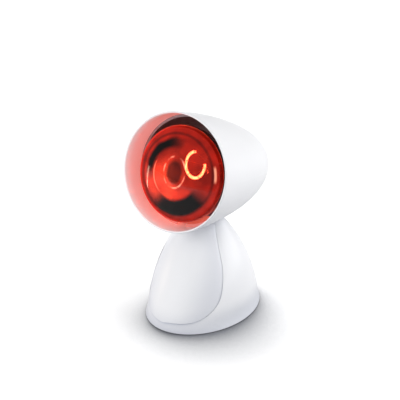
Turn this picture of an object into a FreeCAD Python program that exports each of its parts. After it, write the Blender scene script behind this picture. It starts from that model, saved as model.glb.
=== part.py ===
# Infrared heat therapy lamp: a bullet-shaped shade with a reflector bulb, tilting on a domed base.
#
# Frame: millimetres, +Z up, origin on the table under the middle of the oval foot, the lamp faces -Y.
# The head and the bulb are drawn level, along +Y from the middle of the shade's rim, and are then
# turned about the hinge to the tilt at which the lamp rests.
import FreeCAD, Part
import math
import os

V = FreeCAD.Vector

# ------------------------------------------------ driving dimensions: base
foot_half_width = 54.1        # oval foot, across
foot_half_depth = 70.4        # oval foot, front to back
foot_flare = 2.4              # how far the foot spreads sideways at the table
foot_flare_height = 12.0
skirt_gap = 1.0               # the housing's edge stays this far above the table
pivot_height = 83.0           # height of the hinge pin
dome_over_pivot = 27.8        # the housing's curves would meet this far above the pin
dome_height = pivot_height + dome_over_pivot
dome_levels = (0.0, 0.036, 0.081, 0.144, 0.253, 0.379, 0.505, 0.632, 0.74, 0.83, 0.903, 0.948)
side_curve = (2.684, 1.324)   # exponents of the dome's outline across
depth_curve = (1.3, 1.2)      # exponents of the dome's outline front to back
dome_lean = 6.8               # the dome's middle drifts back by this much at its top
housing_wall = 2.4

cover_half_width = 0.854 * foot_half_width      # the front cover's own, fuller dome
cover_front = foot_half_depth + 1.6
cover_height = dome_height + 2.2
cover_side_curve = (3.0, 1.02)
cover_front_curve = (1.374, 1.16)
cover_middle = 0.192 * foot_half_depth          # how far forward the cover's sections are centred
cover_middle_rise = 1.7
cover_middle_height = 0.83 * dome_height        # where they are centred over the foot's middle
cover_wall = 2.4
cover_gap = 0.3               # parting line between cover and housing
cover_lip = 3.0               # how far the cover's lip reaches behind the housing
cover_lip_wall = 1.6
# the cover's egg-shaped outline from its bottom to its top, as shares of the foot's half width
# and of the dome's height
cover_outline = [(0.37, 0.11), (0.61, 0.146), (0.732, 0.226), (0.762, 0.316), (0.743, 0.415),
                 (0.6765, 0.5415), (0.569, 0.659), (0.455, 0.758), (0.351, 0.839), (0.24, 0.9115)]
cover_bottom = 0.094
cover_top = 0.957

plate_thickness = 2.5
plate_height = 2.5            # underside of the base plate above the table
plate_gap = 0.3
foot_ring_width = 5.0
foot_ring_inset = 3.0

# ------------------------------------------------ driving dimensions: hinge
pivot_y = 2.0
rest_tilt = 15.0              # degrees, the shade's mouth looks up by this much at rest
tilt_down = 10.0              # degrees below rest
tilt_up = 30.0                # degrees above rest
detent_step = 10.0            # degrees from one notch to the next
head_gap = 1.2                # running gap between the head's belly and the base
pin_radius = 3.0
pin_running_gap = 0.05
pin_fixed_gap = 0.02
knuckle_radius = 11.5
arm_width = 16.0
arm_length = 18.0
arm_gap = 0.3
quadrant_radius = 15.5
notch_radius = 1.3
notch_depth = 0.9
ear_thickness = 2.5
ear_gap = 0.5
ear_length = 14.0

# ------------------------------------------------ driving dimensions: head
bulb_radius = 47.5
bulb_length = 127.0
mouth_gap = 11.5              # from the bulb's edge to the outside of the rim
tail_gap = 25.8               # from the end of the bulb to the outside of the tail
rim_radius = bulb_radius + mouth_gap
shade_length = bulb_length + tail_gap
shade_curve = (1.415, 2.588)
shade_wall = 2.0
rim_rounding = 0.85
pivot_station = 74.0          # hinge behind the rim's plane, measured along the shade
belly_above_pivot = 16.7      # the shade's underside above the hinge pin
seat_above_belly = 9.2        # flat tops of the shade's bosses, which the arm's flange sits on
vent_count = 12
vent_width = 2.6
vent_inner_radius = 9.0
vent_outer_radius = 20.0
shield_front = 25.0           # the aluminium heat shield begins this far behind the rim's plane
shield_length = 33.0
shield_gap = 2.0
shield_wall = 0.8
shield_seam = 10.0            # the rolled sheet's two ends stop this far apart, under the bulb
shield_seam_x = 2.0           # middle of that gap, to the right of the bulb's middle

# ------------------------------------------------ driving dimensions: bulb
bulb_drop = 2.5               # the bulb's axis below the shade's axis
bulb_apex = 0.5               # front of the glass behind the rim's plane
bulb_widest = 14.5            # widest circle behind the front of the glass
bulb_shoulder = 6.5
bulb_wall = 1.0
bulb_neck_radius = 15.6
bulb_neck_end = bulb_length - 26.0              # end of the glass behind its front
cap_radius = 13.05
cap_length = 27.0
cap_wall = 0.3
cap_tip = 5.0                 # the cap's threaded shell ends this far before its contact
cap_flare = 1.2               # the shell opens out by this much over the end of the glass
cap_skirt = 2.0
cap_lip = 2.0                 # the shell turns in by this much at its end
cap_overlap = 1.0             # the shell starts this far before the end of the glass
insulator_drop = 1.2          # thickness of the contact at the end of the cap
insulator_step = 1.0          # the black glass shows this far round the contact and inside the shell
contact_taper = 1.0
glass_sleeve = 4.0            # the glass goes on this far inside the cap
filament_depth = 40.5         # filament behind the front of the glass
filament_radius = 14.0
filament_wire = 0.8
filament_rise = 4.0
filament_from = 100.0         # degrees, from the right-hand side upwards
filament_to = 375.0
stem_front = filament_depth + 17.5
stem_back = bulb_neck_end - 7.0
stem_radius = 4.5
stem_flare = 4.0              # length of the stem's foot, which is sealed to the glass
support_count = 5
support_wire = 0.4

# ------------------------------------------------ driving dimensions: lampholder
socket_gap = 0.3
socket_shell_wall = 0.6
socket_shell_length = 21.0
socket_shell_start = 1.5
holder_radius = 18.5
holder_collar = 8.0           # the thick collar at the holder's mouth
holder_step = 1.5
holder_mouth = bulb_apex + bulb_neck_end + cap_skirt
holder_floor = bulb_apex + bulb_length + 1.5
holder_back = holder_floor + 5.0
holder_screw_x = 8.0
holder_screw_bite = 4.0
contact_gap = 0.3
contact_radius = 5.0
contact_sheet = 0.5
contact_foot = 2.0            # the contact's flat rim, round its dome
pocket_near = 3.5             # pockets in the holder's underside for the two terminals
pocket_far = 9.5
pocket_top = 13.2
pocket_wall = 0.8
terminal_tab_gap = 0.3
terminal_tab_wall = 1.0
terminal_tab_drop = 5.0
terminal_tab_roof = 2.0
strap_thickness = 1.2
strap_reach = 21.0            # screws that hold the strap, off the axis
strap_boss_radius = 3.2
strap_screw_bite = 3.0
strap_disc = 13.0

# ------------------------------------------------ driving dimensions: fasteners and fits
screw_radius = 1.5
screw_head_radius = 2.6
screw_head_height = 1.6
screw_drive_radius = 1.0
screw_drive_depth = 0.9
screw_bite = 9.0              # depth of the long screw holes in the base's posts
long_spare = 1.0              # a long screw ends this far before the end of its hole
short_spare = 0.5             # and a short one this far
boss_radius = 3.4
small_gap = 0.1
slot_gap = 0.6
past = 1.0                    # a cut starts this far outside what it cuts

# ------------------------------------------------ driving dimensions: cord inlet, clamp, terminals
inlet_face = foot_half_depth - 5.6              # flat floor of the pocket that the gland sits in
inlet_height = 14.0
inlet_radius = 3.4            # hole for the mains lead
inlet_sleeve = 4.9
inlet_flange = 7.0
inlet_flange_inside = 6.4
inlet_flange_thickness = 1.8
inlet_boss_radius = 9.0
inlet_boss_depth = 5.8
clamp_y = inlet_face - 18.8
clamp_height = 14.0
clamp_reach = 10.5
clamp_width = 8.0
clamp_thickness = 2.0
clamp_cradle_width = 9.0
clamp_spare = 2.0             # the clamp's screws end this far above the plate
terminal_y = clamp_y - 24.0
terminal_width = 18.0
terminal_depth = 16.0
terminal_height = 12.0
terminal_notch = 3.0
terminal_pitch = 9.0
terminal_wire_height = 4.5
terminal_bore = 1.6

# ------------------------------------------------ driving dimensions: posts, hinge bracket, detent
cover_back = -2.0             # the front cover and its opening reach back to here
rear_post_y = clamp_y - 13.0
rear_posts = [(-29.0, rear_post_y), (29.0, rear_post_y)]
front_post_y = 26.4 - foot_half_depth
front_posts = [(-20.0, front_post_y), (20.0, front_post_y)]
bracket_y = pivot_y + 2.0
bracket_reach = 17.5          # screws of the hinge bracket, to the left and right
bracket_bite = 3.5
flange_top = pivot_height + 8.5
flange_half_width = 5.0
web_drop = 27.5               # the bracket's web below the hinge pin
guide_height = 9.0            # the tube on the web that the detent plunger slides in
guide_radius = 4.8
plunger_radius = 3.0
plunger_gap = 0.25
plunger_tip_height = 3.2
plunger_tip_radius = 1.0
spring_length = 6.0
spring_wire = 0.35
spring_turns = 5
pin_head_radius = 4.4
pin_head_thickness = 1.8
pin_end_length = 1.2          # the pin goes on this far past its clip
clip_thickness = 0.8
clip_groove = 2.4
clip_side_gap = 0.05

# ------------------------------------------------ driving dimensions: arm
arm_flange_x = 18.0
arm_flange_s = 14.5
arm_flange_thickness = 3.0
arm_screw_x = 13.5
arm_screw_s = 10.0
arm_screw_bite = 4.5
quadrant_width = 8.0
quadrant_margin = 12.0        # degrees that the quadrant goes on past its last notch
quadrant_zero = -90.0
channel_offset = 6.2          # channel for the leads, in front of the hinge pin
channel_width = 2.8
channel_reach = 2.9

# ------------------------------------------------ driving dimensions: leads
lead_radius = 1.1
lead_bend = 5.0
lead_head_bend = 3.5
lead_rise_y = -15.0
lead_spread = 2.6
lead_top = pivot_height - 10.0
lead_foot_rise = 20.0         # how far the leads have risen where they come together
channel_lead_x = 1.45
lead_start_drop = 2.0         # the head's leads start this far below the pin
lead_clear_rise = 6.0         # and first turn this far above the arm's flange
lead_slope = 26.0             # how far behind the channel the head's leads have risen
lead_run_z = -25.0
lead_end_drop = 3.0           # the leads end this far below the pockets of the holder
lead_station = holder_floor + 2.5

# ------------------------------------------------ helpers
os.makedirs("parts", exist_ok=True)
ALL_ROUND = 360.0
oval_points = 16
FAR = 200.0                   # longer than anything that a cut has to pass through
X_AXIS = V(1, 0, 0)
Y_AXIS = V(0, 1, 0)


def save(name, shape):
    """Writes one piece, and says what it weighs in volume."""
    tidied = shape.copy().removeSplitter()
    if tidied.isValid() and tidied.Volume > 0:
        shape = tidied
    shape.exportStep("parts/" + name + ".step")
    state = "valid" if shape.isValid() else "INVALID"
    print(name, len(shape.Solids), "solid(s)", round(shape.Volume), "mm3", state)


def cylinder(radius, start, end):
    """A round bar from one point to another."""
    along = end.sub(start)
    return Part.makeCylinder(radius, along.Length, start, along)


def ring(outer, inner, start, end):
    """A tube from one point to another."""
    reach = end.sub(start).normalize()
    return cylinder(outer, start, end).cut(cylinder(inner, start.sub(reach), end.add(reach)))


def block(low, high):
    """A box between two corners."""
    size = V(*high).sub(V(*low))
    return Part.makeBox(size.x, size.y, size.z, V(*low))


def join(shapes):
    """All the shapes as one."""
    whole = shapes[0]
    for shape in shapes[1:]:
        whole = whole.fuse(shape)
    return whole


def largest(shape):
    """The biggest of the solids in a shape."""
    return max(shape.Solids, key=lambda solid: solid.Volume)


def turned(profile):
    """Revolves a closed outline of (radius, station) edges about the Y axis."""
    face = Part.Face(Part.Wire(profile))
    return face.revolve(V(0, 0, 0), Y_AXIS, ALL_ROUND)


def line(start, end):
    """A straight edge between two (radius, station) points."""
    return Part.makeLine(V(start[0], start[1], 0), V(end[0], end[1], 0))


def curve(points):
    """A smooth edge through (radius, station) points."""
    spline = Part.BSplineCurve()
    spline.interpolate([V(r, s, 0) for r, s in points])
    return spline.toShape()


def stepped(points):
    """Revolves a closed outline of straight edges."""
    return turned([line(a, b) for a, b in zip(points, points[1:] + points[:1])])


def dome_share(height, top, exponents):
    """How wide a dome still is at a height, as a share of its width at the table."""
    power, root = exponents
    share = max(0.0, 1.0 - (max(height, 0.0) / top) ** power)
    return share ** (1.0 / root)


def oval(half_x, half_y, middle_y, height):
    """A smooth oval wire at a height, which starts and ends at the back."""
    points = []
    for i in range(oval_points):
        turn = 2 * math.pi * i / oval_points
        points.append(V(half_x * math.sin(turn), middle_y + half_y * math.cos(turn), height))
    spline = Part.BSplineCurve()
    spline.interpolate(points, PeriodicFlag=True)
    return Part.Wire([spline.toShape()])


# ------------------------------------------------ base: the two domes
dome_stations = [level * dome_height for level in dome_levels]


def housing_oval(height, inset):
    """Half width, half depth and middle of the housing's section at a height."""
    top = dome_height - inset
    flare = foot_flare * max(0.0, 1.0 - height / foot_flare_height) ** 2
    across = foot_half_width - foot_flare - inset
    across = across * dome_share(height, top, side_curve) + flare
    deep = (foot_half_depth - inset) * dome_share(height, top, depth_curve)
    return across, deep, dome_lean * (height / dome_height) ** 2


def housing_dome(inset, lowest=0.0):
    """The housing's dome as a solid, made smaller all round by inset."""
    stations = [lowest] + [z for z in dome_stations if z > lowest + 1.0 and z < dome_height - inset - 2.0]
    sections = []
    for z in stations:
        across, deep, middle = housing_oval(z, inset)
        sections.append(oval(across, deep, middle, z))
    return Part.makeLoft(sections, True)


def cover_dome(inset):
    """The front cover's fuller dome as a solid, made smaller all round by inset."""
    sections = []
    top = cover_height - inset
    for z in [s for s in dome_stations if s < top - 4.0]:
        across = (cover_half_width - inset) * dome_share(z, top, cover_side_curve)
        front = (cover_front - inset) * dome_share(z, top, cover_front_curve)
        middle = -cover_middle * (1.0 - (z / cover_middle_height) ** cover_middle_rise)
        sections.append(oval(across, front + middle, middle, z))
    return Part.makeLoft(sections, True)


def cover_prism(grow, back):
    """The cover's egg-shaped outline, grown by an amount, as a bar from far in front back to y = back."""
    points = [V(0, 0, cover_bottom * dome_height - grow)]
    side = []
    egg = [(x * foot_half_width, z * dome_height) for x, z in cover_outline]
    egg_middle = max(egg)[1]
    for half_width, height in egg:
        away = V(half_width, 0, height - egg_middle)
        out = V(away).normalize().multiply(grow)
        side.append(V(half_width + out.x, 0, height + out.z))
    points += side
    points.append(V(0, 0, cover_top * dome_height + grow))
    points += [V(-p.x, 0, p.z) for p in reversed(side)]
    spline = Part.BSplineCurve()
    spline.interpolate(points, PeriodicFlag=True)
    face = Part.Face(Part.Wire([spline.toShape()]))
    face.translate(V(0, -FAR, 0))
    return face.extrude(V(0, FAR + back, 0))


# ------------------------------------------------ head: the bullet outline
def shade_radius(station, inset):
    """Radius of the shade behind its rim, made smaller all round by inset."""
    power, root = shade_curve
    length = shade_length - inset
    share = max(0.0, 1.0 - (max(station, 0.0) / length) ** power)
    return (rim_radius - inset) * share ** (1.0 / root)


shade_steps = 16
belly_radius = shade_radius(pivot_station, 0.0)
axis_above_pivot = belly_radius + belly_above_pivot
arm_seat = seat_above_belly - belly_radius


def shade_edge(inset, front=0.0):
    """The bullet outline from a station near the rim back to the tail."""
    length = shade_length - inset
    points = []
    for i in range(shade_steps + 1):
        angle = math.pi / 2 * i / shade_steps
        station = front + (length - front) * math.sin(angle)
        points.append((shade_radius(station, inset), station))
    points[-1] = (0.0, length)
    return curve(points), points


def shade_solid(inset, front=0.0):
    """The bullet as a solid."""
    edge, points = shade_edge(inset, front)
    return turned([edge, line(points[-1], (0.0, front)), line((0.0, front), points[0])])


def place_head(shape, extra_tilt=0.0):
    """Carries a level head shape to the hinge and tilts it up."""
    moved = shape.copy()
    moved.translate(V(0, pivot_y - pivot_station, pivot_height + axis_above_pivot))
    moved.rotate(V(0, pivot_y, pivot_height), X_AXIS, -(rest_tilt + extra_tilt))
    return moved


def saddle_cutter(gap):
    """The space that the head's belly sweeps, with a gap round it."""
    belly = [(axis_above_pivot - shade_radius(pivot_station + s, 0.0), s) for s in range(0, 14, 2)]
    reach = min(math.hypot(rise, s) for rise, s in belly)
    swept_radius = axis_above_pivot - reach + gap
    start = V(0, pivot_y, pivot_height + axis_above_pivot)
    circle = Part.Wire([Part.makeCircle(swept_radius, start, Y_AXIS)])
    circle.rotate(V(0, pivot_y, pivot_height), X_AXIS, -(rest_tilt + tilt_up))
    saddle = Part.Face(circle).revolve(V(0, pivot_y, pivot_height), X_AXIS, tilt_up + tilt_down)
    bullet = shade_solid(-gap, -gap)
    return [saddle, place_head(bullet, tilt_up), place_head(bullet, -tilt_down)]


def cut_all(shape, cutters):
    """Takes each cutter away in turn."""
    for cutter in cutters:
        shape = shape.cut(cutter)
    return shape


saddle_outside = saddle_cutter(head_gap)
saddle_inside = saddle_cutter(head_gap + housing_wall)

# ------------------------------------------------ rear housing
plate_top = plate_height + plate_thickness
outer_dome = cut_all(housing_dome(0.0, skirt_gap), saddle_outside)
inner_dome = cut_all(housing_dome(housing_wall), saddle_inside)
opening = cover_prism(cover_gap, cover_back + cover_gap)


def arm_edge(tilt, side):
    """A line along the front or the back of the arm at a tilt, from beside the hinge outwards."""
    turn = math.radians(tilt)
    along = V(0, math.sin(turn), math.cos(turn))
    across = V(0, math.cos(turn), -math.sin(turn))
    foot = V(0, pivot_y, pivot_height).add(across.multiply(side * (arm_length / 2 + slot_gap)))
    return foot, foot.add(along.multiply(FAR))


# slot in the top of the base: the space that the arm sweeps from its lowest to its highest tilt
front_foot, front_end = arm_edge(rest_tilt - tilt_down, -1)
back_foot, back_end = arm_edge(rest_tilt + tilt_up, 1)
sweep = Part.Face(Part.makePolygon([front_foot, front_end, back_end, back_foot, front_foot]))
sweep.translate(V(-arm_width / 2 - slot_gap, 0, 0))
arm_slot = sweep.extrude(V(arm_width + 2 * slot_gap, 0, 0))


def housing_posts():
    """Screw posts for the base plate and for the hinge bracket, grown down from the dome."""
    posts = []
    for x, y in rear_posts:
        posts.append(cylinder(boss_radius, V(x, y, plate_top), V(x, y, dome_height)))
    for x in (-bracket_reach, bracket_reach):
        posts.append(cylinder(boss_radius, V(x, bracket_y, flange_top), V(x, bracket_y, dome_height)))
    return join(posts).common(outer_dome)


def inlet_seat():
    """The thick spot in the back wall that the cord gland sits in."""
    back = inlet_face - inlet_boss_depth
    seat = cylinder(inlet_boss_radius, V(0, back, inlet_height), V(0, FAR, inlet_height))
    return seat.common(outer_dome)


housing = outer_dome.cut(inner_dome).cut(opening).cut(arm_slot)
housing = housing.fuse(housing_posts()).fuse(inlet_seat())
inlet_end = V(0, FAR, inlet_height)
housing = housing.cut(cylinder(inlet_flange + small_gap, V(0, inlet_face, inlet_height), inlet_end))
housing = housing.cut(cylinder(inlet_sleeve + small_gap, V(0, 0, inlet_height), inlet_end))
for x, y in rear_posts:
    housing = housing.cut(cylinder(screw_radius, V(x, y, 0), V(x, y, plate_top + screw_bite)))
for x in (-bracket_reach, bracket_reach):
    housing = housing.cut(cylinder(screw_radius, V(x, bracket_y, flange_top - past),
                                   V(x, bracket_y, flange_top + bracket_bite)))
save("rear_housing", housing)

# ------------------------------------------------ front cover
cover_outside = cut_all(cover_dome(0.0), saddle_outside)
cover_inside = cut_all(cover_dome(cover_wall), saddle_inside)
egg = cover_prism(0.0, cover_back)
cover = largest(cover_outside.cut(cover_inside).common(egg))
# lip: a rim just inside the parting line, which steps back behind the housing's wall
lip_depth = housing_wall + cover_gap
lip_outside = cut_all(housing_dome(lip_depth), saddle_cutter(head_gap + lip_depth))
lip_back = lip_depth + cover_lip_wall
lip_inside = cut_all(housing_dome(lip_back), saddle_cutter(head_gap + lip_back))
lip_core = cover_prism(-cover_lip, cover_back)
lip_wide = cover_prism(cover_lip, cover_back)
rim_wall = cover_outside.cut(lip_inside).common(egg).cut(lip_core)
behind = lip_outside.cut(lip_inside).common(lip_wide).cut(lip_core)
floor_cut = block((-FAR, -FAR, -FAR), (FAR, FAR, plate_top + plate_gap))
lip = rim_wall.fuse(behind).cut(floor_cut)
cover = cover.fuse(lip)
for x, y in front_posts:
    post = cylinder(boss_radius, V(x, y, plate_top), V(x, y, dome_height)).common(cover_outside)
    cover = cover.fuse(post)
for x, y in front_posts:
    cover = cover.cut(cylinder(screw_radius, V(x, y, 0), V(x, y, plate_top + screw_bite)))
cover = cover.cut(arm_slot)
save("front_cover", cover)

# ------------------------------------------------ base plate, foot ring and what stands on the plate
def flat_oval(inset, low, high):
    """An oval plate that follows the housing's inside at its foot."""
    across, deep, middle = housing_oval(high, inset)
    return Part.Face(oval(across, deep, middle, low)).extrude(V(0, 0, high - low))


plate = flat_oval(housing_wall + plate_gap, plate_height, plate_top)
for x in (-clamp_reach, clamp_reach):
    plate = plate.fuse(cylinder(boss_radius, V(x, clamp_y, plate_top), V(x, clamp_y, clamp_height)))
cradle = block((-clamp_cradle_width / 2, clamp_y - clamp_width / 2, plate_top),
               (clamp_cradle_width / 2, clamp_y + clamp_width / 2, clamp_height - inlet_radius + lead_radius))
plate = plate.fuse(cradle)
plate = plate.cut(cylinder(inlet_radius, V(0, -FAR, inlet_height), inlet_end))
for x in (-clamp_reach, clamp_reach):
    plate = plate.cut(cylinder(screw_radius, V(x, clamp_y, plate_top + past), V(x, clamp_y, FAR)))
for x, y in rear_posts + front_posts:
    plate = plate.cut(cylinder(screw_radius + small_gap, V(x, y, 0), V(x, y, FAR)))
save("base_plate", plate)

foot_outside = flat_oval(housing_wall + plate_gap + foot_ring_inset, 0.0, plate_height)
foot_inside = flat_oval(housing_wall + plate_gap + foot_ring_inset + foot_ring_width, 0.0, plate_height)
save("foot_ring", foot_outside.cut(foot_inside))


def screw(head_at, towards, length):
    """A pan-head screw: the head's underside is at a point, and the shank goes on from there."""
    step = V(towards).normalize()
    head_end = head_at.sub(V(step).multiply(screw_head_height))
    head = cylinder(screw_head_radius, head_end, head_at)
    shank = cylinder(screw_radius - small_gap, head_at, head_at.add(V(step).multiply(length)))
    drive = cylinder(screw_drive_radius, head_end, head_end.add(V(step).multiply(screw_drive_depth)))
    return head.fuse(shank).cut(drive)


UP = V(0, 0, 1)
DOWN = V(0, 0, -1)
plate_screw_length = plate_thickness + screw_bite - long_spare
base_screws = [screw(V(x, y, plate_height), UP, plate_screw_length) for x, y in rear_posts + front_posts]
save("base_screws", Part.Compound(base_screws))

# ------------------------------------------------ cord inlet, clamp and terminals
gland_inside = inlet_face - inlet_boss_depth
gland_back = V(0, gland_inside - inlet_flange_thickness, inlet_height)
gland_front = V(0, inlet_face + inlet_flange_thickness, inlet_height)
gland = cylinder(inlet_sleeve, gland_back, gland_front)
gland = gland.fuse(cylinder(inlet_flange, V(0, inlet_face, inlet_height), gland_front))
gland = gland.fuse(cylinder(inlet_flange_inside, gland_back, V(0, gland_inside, inlet_height)))
gland = gland.cut(cylinder(inlet_radius, V(0, 0, inlet_height), V(0, FAR, inlet_height)))
save("cord_gland", gland)

strap_end = clamp_reach + boss_radius
clamp = block((-strap_end, clamp_y - clamp_width / 2, clamp_height),
              (strap_end, clamp_y + clamp_width / 2, clamp_height + clamp_thickness))
arch_low = V(0, clamp_y - clamp_width / 2, inlet_height)
arch_high = V(0, clamp_y + clamp_width / 2, inlet_height)
arch = cylinder(inlet_radius + clamp_thickness, arch_low, arch_high)
arch = arch.common(block((-FAR, -FAR, clamp_height), (FAR, FAR, FAR)))
clamp = clamp.fuse(arch).cut(cylinder(inlet_radius, V(0, 0, inlet_height), V(0, FAR, inlet_height)))
for x in (-clamp_reach, clamp_reach):
    clamp = clamp.cut(cylinder(screw_radius + small_gap, V(x, clamp_y, 0), V(x, clamp_y, FAR)))
save("cord_clamp", clamp)
clamp_screw_length = clamp_thickness + clamp_height - plate_top - clamp_spare
clamp_screws = [screw(V(x, clamp_y, clamp_height + clamp_thickness), DOWN, clamp_screw_length)
                for x in (-clamp_reach, clamp_reach)]
save("clamp_screws", Part.Compound(clamp_screws))

terminal_low = (-terminal_width / 2, terminal_y - terminal_depth / 2, plate_top)
terminal_high = (terminal_width / 2, terminal_y + terminal_depth / 2, plate_top + terminal_height)
terminal = block(terminal_low, terminal_high)
terminal = terminal.cut(block((-terminal_notch / 2, -FAR, plate_top + terminal_height - terminal_notch),
                              (terminal_notch / 2, FAR, FAR)))
wire_height = plate_top + terminal_wire_height
for x in (-terminal_pitch / 2, terminal_pitch / 2):
    terminal = terminal.cut(cylinder(terminal_bore, V(x, 0, wire_height), V(x, FAR, wire_height)))
    terminal = terminal.cut(cylinder(screw_radius, V(x, terminal_y, wire_height), V(x, terminal_y, FAR)))
save("terminal_block", terminal)
terminal_screws = [cylinder(screw_radius - small_gap, V(x, terminal_y, wire_height + terminal_bore),
                            V(x, terminal_y, plate_top + terminal_height - past))
                   for x in (-terminal_pitch / 2, terminal_pitch / 2)]
save("terminal_screws", Part.Compound(terminal_screws))


def lead(points, bend):
    """An insulated wire along straight runs joined by round bends."""
    edges = []
    start = points[0]
    for before, corner, after in zip(points, points[1:], points[2:]):
        back = before.sub(corner).normalize()
        on = after.sub(corner).normalize()
        half_turn = (math.pi - back.getAngle(on)) / 2
        setback = bend * math.tan(half_turn)
        middle = V(back).add(on).normalize().multiply(bend / math.cos(half_turn) - bend)
        arc_start = corner.add(V(back).multiply(setback))
        arc_end = corner.add(V(on).multiply(setback))
        edges.append(Part.makeLine(start, arc_start))
        edges.append(Part.Arc(arc_start, corner.add(middle), arc_end).toShape())
        start = arc_end
    edges.append(Part.makeLine(start, points[-1]))
    path = Part.Wire(edges)
    section = Part.Wire([Part.makeCircle(lead_radius, points[0], points[1].sub(points[0]))])
    return path.makePipeShell([section], True, False)


base_leads = []
for side in (-1, 1):
    x = side * terminal_pitch / 2
    base_leads.append(lead([V(x, terminal_y, wire_height), V(x, lead_rise_y, wire_height),
                            V(side * lead_spread, lead_rise_y, wire_height + lead_foot_rise),
                            V(side * lead_spread, lead_rise_y, lead_top)], lead_bend))
save("base_leads", Part.Compound(base_leads))

# ------------------------------------------------ hinge bracket, pin and detent
ear_inside = arm_width / 2 + ear_gap
ear_outside = ear_inside + ear_thickness
web_top = pivot_height - web_drop
web_bottom = web_top - ear_thickness
ear_low = pivot_y - ear_length / 2
ear_high = pivot_y + ear_length / 2
bracket = block((-ear_outside, ear_low, web_bottom), (ear_outside, ear_high, web_top))
for side in (-1, 1):
    inner_x, outer_x = sorted((side * ear_inside, side * ear_outside))
    bracket = bracket.fuse(block((inner_x, ear_low, web_bottom), (outer_x, ear_high, flange_top)))
    reach_x = sorted((side * ear_inside, side * (bracket_reach + boss_radius)))
    wing = block((reach_x[0], bracket_y - flange_half_width, flange_top - ear_thickness),
                 (reach_x[1], bracket_y + flange_half_width, flange_top))
    bracket = bracket.fuse(wing)
guide_top = web_top + guide_height
bracket = bracket.fuse(cylinder(guide_radius, V(0, pivot_y, web_bottom), V(0, pivot_y, guide_top)))
bracket = bracket.cut(cylinder(plunger_radius + pin_running_gap, V(0, pivot_y, web_top), V(0, pivot_y, FAR)))
pin_start = V(-FAR, pivot_y, pivot_height)
pin_end = V(FAR, pivot_y, pivot_height)
bracket = bracket.cut(cylinder(pin_radius + pin_fixed_gap, pin_start, pin_end))
for side in (-1, 1):
    hole_x = side * bracket_reach
    bracket = bracket.cut(cylinder(screw_radius + small_gap, V(hole_x, bracket_y, pivot_height),
                                   V(hole_x, bracket_y, FAR)))
save("hinge_bracket", bracket)

bracket_screw_length = ear_thickness + bracket_bite - short_spare
bracket_screws = [screw(V(x, bracket_y, flange_top - ear_thickness), UP, bracket_screw_length)
                  for x in (-bracket_reach, bracket_reach)]
save("bracket_screws", Part.Compound(bracket_screws))

pin_tip = ear_outside + clip_thickness + pin_end_length
head_end = -ear_outside - small_gap
pin = cylinder(pin_radius, V(head_end, pivot_y, pivot_height), V(pin_tip, pivot_y, pivot_height))
pin = pin.fuse(cylinder(pin_head_radius, V(head_end - pin_head_thickness, pivot_y, pivot_height),
                        V(head_end, pivot_y, pivot_height)))
clip_start = V(ear_outside + small_gap, pivot_y, pivot_height)
clip_end = V(ear_outside + small_gap + clip_thickness, pivot_y, pivot_height)
side_gap = V(clip_side_gap, 0, 0)
pin = pin.cut(ring(pin_head_radius + past, clip_groove, clip_start.sub(side_gap), clip_end.add(side_gap)))
save("hinge_pin", pin)
clip = ring(pin_head_radius, clip_groove + small_gap, clip_start, clip_end)
clip = clip.cut(block((0, pivot_y - clip_groove, 0), (FAR, pivot_y + clip_groove, pivot_height)))
save("pin_clip", clip)

tip_top = pivot_height - quadrant_radius - plunger_gap
plunger_bottom = web_top + spring_length
tip_base = tip_top - plunger_tip_height
plunger = cylinder(plunger_radius, V(0, pivot_y, plunger_bottom), V(0, pivot_y, tip_base))
cone = Part.makeCone(plunger_radius, plunger_tip_radius, plunger_tip_height - plunger_tip_radius,
                     V(0, pivot_y, tip_base), UP)
dome = Part.makeSphere(plunger_tip_radius, V(0, pivot_y, tip_top - plunger_tip_radius))
save("detent_plunger", plunger.fuse(cone).fuse(dome))

spring_turn = (spring_length - 2 * spring_wire - 2 * small_gap) / spring_turns
spring_radius = plunger_radius - spring_wire - small_gap
coil = Part.makeHelix(spring_turn, spring_turn * spring_turns, spring_radius)
coil.translate(V(0, pivot_y, web_top + spring_wire + small_gap))
coil_start = V(spring_radius, pivot_y, web_top + spring_wire + small_gap)
coil_section = Part.Wire([Part.makeCircle(spring_wire, coil_start, Y_AXIS)])
save("detent_spring", Part.Wire(coil.Edges).makePipeShell([coil_section], True, True))

# ------------------------------------------------ head: shade and heat shield
arm_hole = block((-arm_width / 2 - arm_gap, pivot_station - arm_length / 2 - arm_gap, -axis_above_pivot),
                 (arm_width / 2 + arm_gap, pivot_station + arm_length / 2 + arm_gap, arm_seat))
bullet_outside = shade_solid(0.0)
bullet_inside = shade_solid(shade_wall, -past)
shade = bullet_outside.cut(bullet_inside)
rim_edges = [edge for edge in shade.Edges if edge.BoundBox.YMax < small_gap]
shade = shade.makeFillet(rim_rounding, rim_edges)
arm_screws_at = [(x, pivot_station + s) for x in (-arm_screw_x, arm_screw_x)
                 for s in (-arm_screw_s, arm_screw_s)]
for x, s in arm_screws_at:
    shade = shade.fuse(cylinder(boss_radius, V(x, s, arm_seat), V(x, s, -rim_radius)).common(bullet_outside))
strap_screws_at = [(-strap_reach, -bulb_drop), (strap_reach, -bulb_drop)]
strap_back = holder_back + strap_thickness
for x, z in strap_screws_at:
    stub = cylinder(strap_boss_radius, V(x, strap_back, z), V(x, shade_length, z))
    shade = shade.fuse(stub.common(bullet_outside))
shade = shade.cut(arm_hole)
for x, s in arm_screws_at:
    shade = shade.cut(cylinder(screw_radius, V(x, s, arm_seat + past), V(x, s, arm_seat - arm_screw_bite)))
for x, z in strap_screws_at:
    hole_end = V(x, strap_back + strap_screw_bite, z)
    shade = shade.cut(cylinder(screw_radius, V(x, strap_back - past, z), hole_end))
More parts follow.
